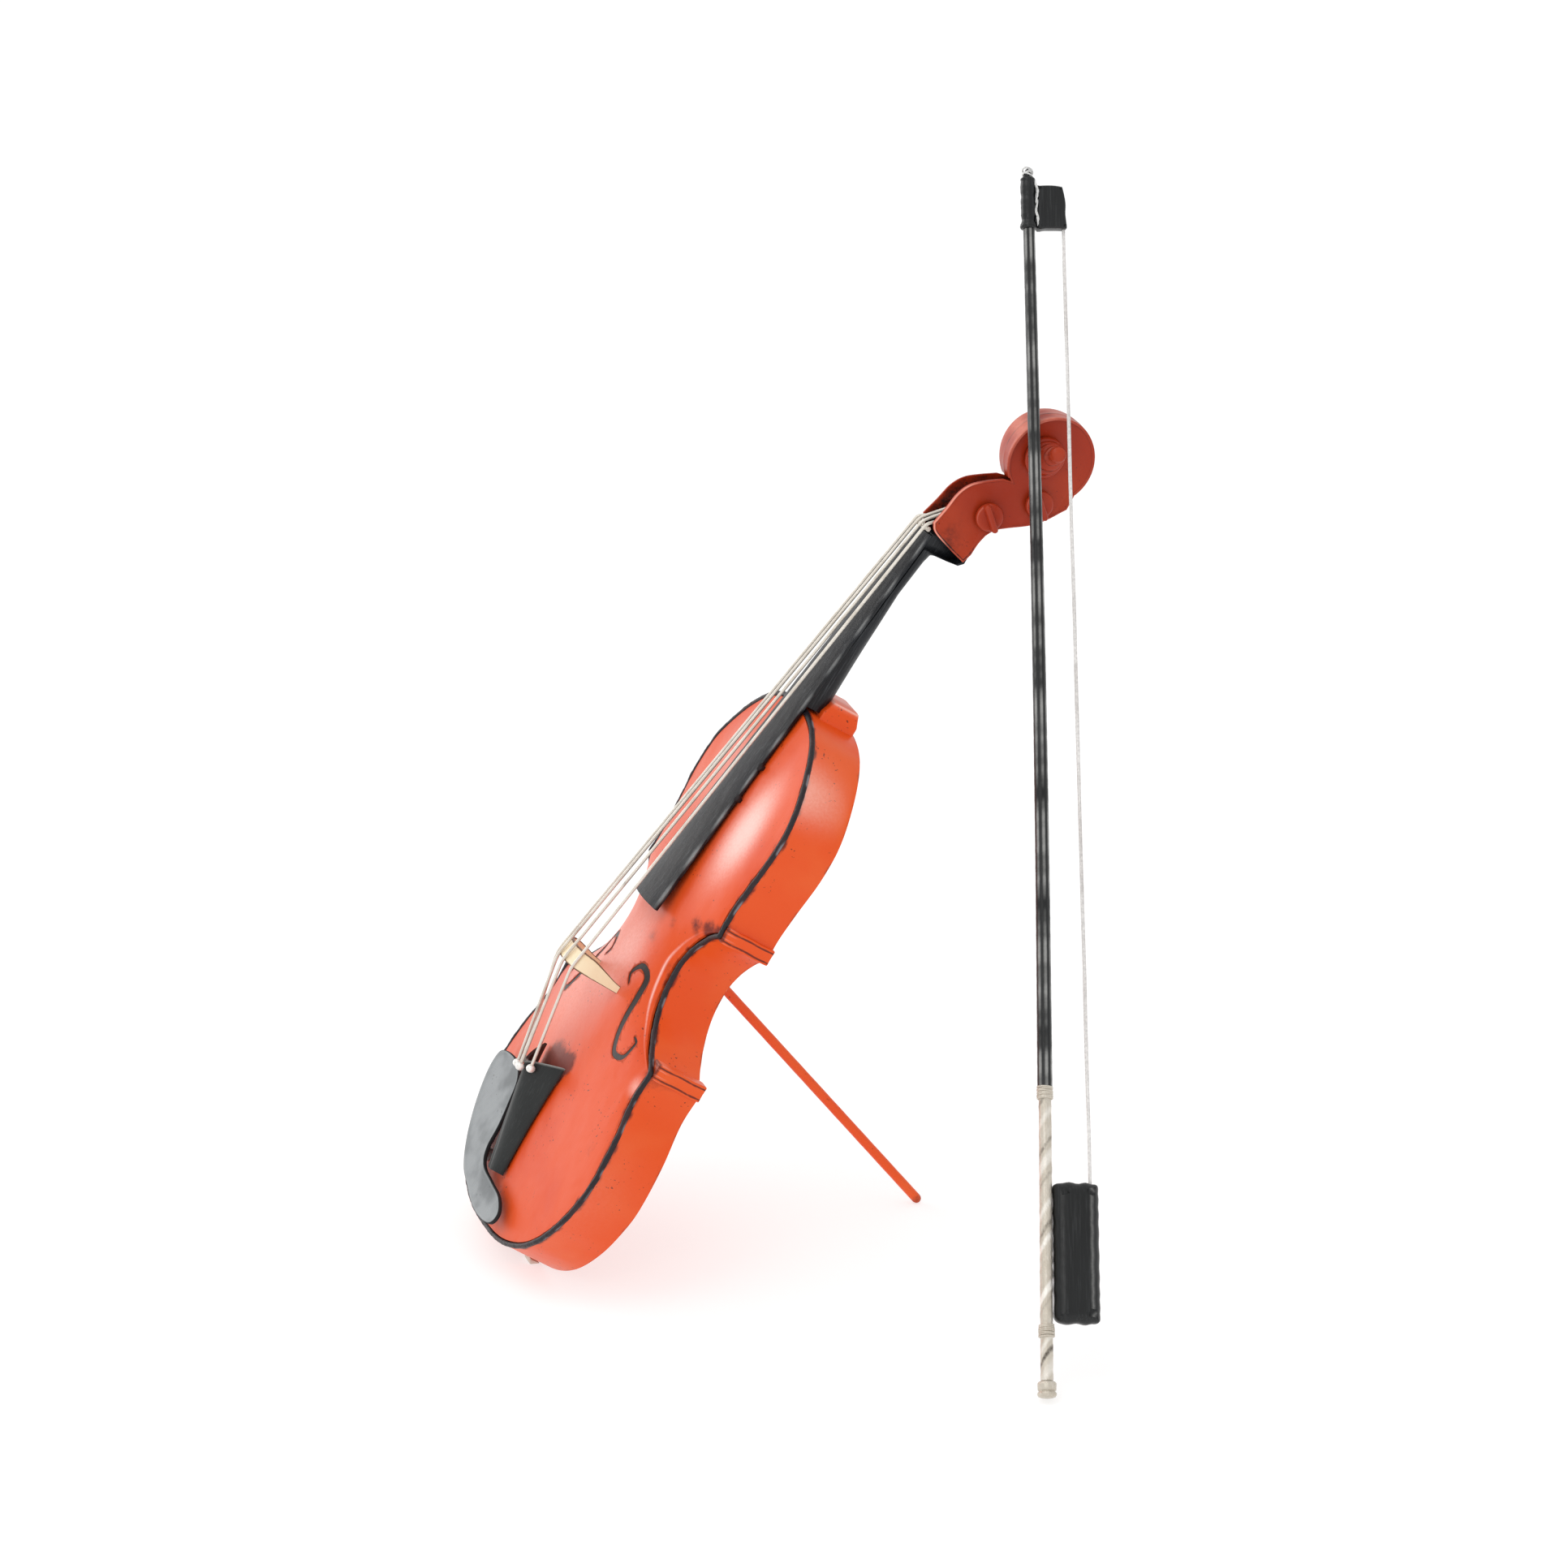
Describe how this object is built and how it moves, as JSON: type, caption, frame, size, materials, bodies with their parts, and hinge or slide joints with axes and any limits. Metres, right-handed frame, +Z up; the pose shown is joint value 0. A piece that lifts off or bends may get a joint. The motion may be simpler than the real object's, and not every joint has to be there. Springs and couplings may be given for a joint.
{
  "type": "decorative violin with bow",
  "caption": "Painted sheet-metal violin ornament that stands on rest pads and a pull-out prop leg, with strings, turning pegs and a lift-off bow leaning on its scroll.",
  "frame": {"origin": "middle of the object's box, at the height of the floor it stands on", "axes": "+Z up; the violin's front faces -Y and leans back towards +Y; the treble side and the bow's foot are towards +X"},
  "size_m": [0.291, 0.2632, 0.4245],
  "materials": {
    "orange_lacquer": "glossy orange lacquer, rubbed and softly clouded",
    "russet_lacquer": "satin red-brown lacquer with dark rubbed recesses",
    "black_lacquer": "black lacquer, brushed with worn grey edges",
    "edge_black": "black, worn on its crest",
    "grey_iron": "satin brushed grey",
    "string_wire": "bright drawn wire",
    "bone_ivory": "cream paint with brown edges",
    "champagne_silver": "pale champagne metal, scuffed",
    "bow_hair": "pale translucent strand",
    "clear_thread": "pale clear thread",
    "clear_rubber": "soft milky rubber"
  },
  "bodies": {
    "violin": {"back_plate": "orange_lacquer", "board_tack_1": "black_lacquer", "board_tack_2": "black_lacquer", "bridge": "bone_ivory", "chin_rest": "grey_iron", "chin_rest_post_1": "grey_iron", "chin_rest_post_2": "grey_iron", "edge_bead": "edge_black", "fingerboard": "black_lacquer", "front_plate": "orange_lacquer", "leg_socket": "black_lacquer", "lower_corner_strip_bass": "orange_lacquer", "lower_corner_strip_treble": "orange_lacquer", "lower_rib_bass": "orange_lacquer", "lower_rib_treble": "orange_lacquer", "neck": "black_lacquer", "neck_heel": "orange_lacquer", "nut": "string_wire", "pegbox_back": "russet_lacquer", "pegbox_cheek_bass": "russet_lacquer", "pegbox_cheek_treble": "russet_lacquer", "rest_pad_bass": "clear_rubber", "rest_pad_treble": "clear_rubber", "scroll_band": "russet_lacquer", "scroll_eye_bass": "russet_lacquer", "scroll_eye_treble": "russet_lacquer", "string_a": "string_wire", "string_ball_a": "string_wire", "string_ball_d": "string_wire", "string_ball_e": "string_wire", "string_ball_g": "string_wire", "string_d": "string_wire", "string_e": "string_wire", "string_g": "string_wire", "tailpiece": "black_lacquer", "upper_corner_strip_bass": "orange_lacquer", "upper_corner_strip_treble": "orange_lacquer", "upper_rib_bass": "orange_lacquer", "upper_rib_treble": "orange_lacquer", "waist_rib_bass": "orange_lacquer", "waist_rib_treble": "orange_lacquer"},
    "bow": {"bow_end_button": "champagne_silver", "bow_frog": "black_lacquer", "bow_grip": "champagne_silver", "bow_grip_lower": "champagne_silver", "bow_hair": "bow_hair", "bow_head": "black_lacquer", "bow_ring_lower": "champagne_silver", "bow_ring_upper": "champagne_silver", "bow_stick": "black_lacquer", "bow_tip_sleeve": "black_lacquer", "bow_tip_winding": "clear_thread"},
    "leg": {"prop_leg": "orange_lacquer"},
    "peg_bass_far_body": {"peg_bass_far": "russet_lacquer"},
    "peg_bass_near_body": {"peg_bass_near": "russet_lacquer"},
    "peg_treble_far_body": {"peg_treble_far": "russet_lacquer"},
    "peg_treble_near_body": {"peg_treble_near": "russet_lacquer"}
  },
  "joints": [
    {"name": "bow_lift_off", "type": "slide", "parent": "violin", "child": "bow", "axis": [0.8522, 0, 0.5233], "range_m": [0, 0.15]},
    {"name": "leg_pull_out", "type": "slide", "parent": "violin", "child": "leg", "axis": [0, 0.6236, -0.7817], "range_m": [0, 0.012]},
    {"name": "peg_bass_far_turn", "type": "hinge", "parent": "violin", "child": "peg_bass_far_body", "pos_m": [-0.0771, 0.0973, 0.29661], "axis": [1, 0, 0], "continuous": true},
    {"name": "peg_bass_near_turn", "type": "hinge", "parent": "violin", "child": "peg_bass_near_body", "pos_m": [-0.07846, 0.07659, 0.29333], "axis": [1, 0, 0], "continuous": true},
    {"name": "peg_treble_far_turn", "type": "hinge", "parent": "violin", "child": "peg_treble_far_body", "pos_m": [-0.06625, 0.10734, 0.29869], "axis": [1, 0, 0], "continuous": true},
    {"name": "peg_treble_near_turn", "type": "hinge", "parent": "violin", "child": "peg_treble_near_body", "pos_m": [-0.0649, 0.08593, 0.29599], "axis": [1, 0, 0], "continuous": true}
  ]
}
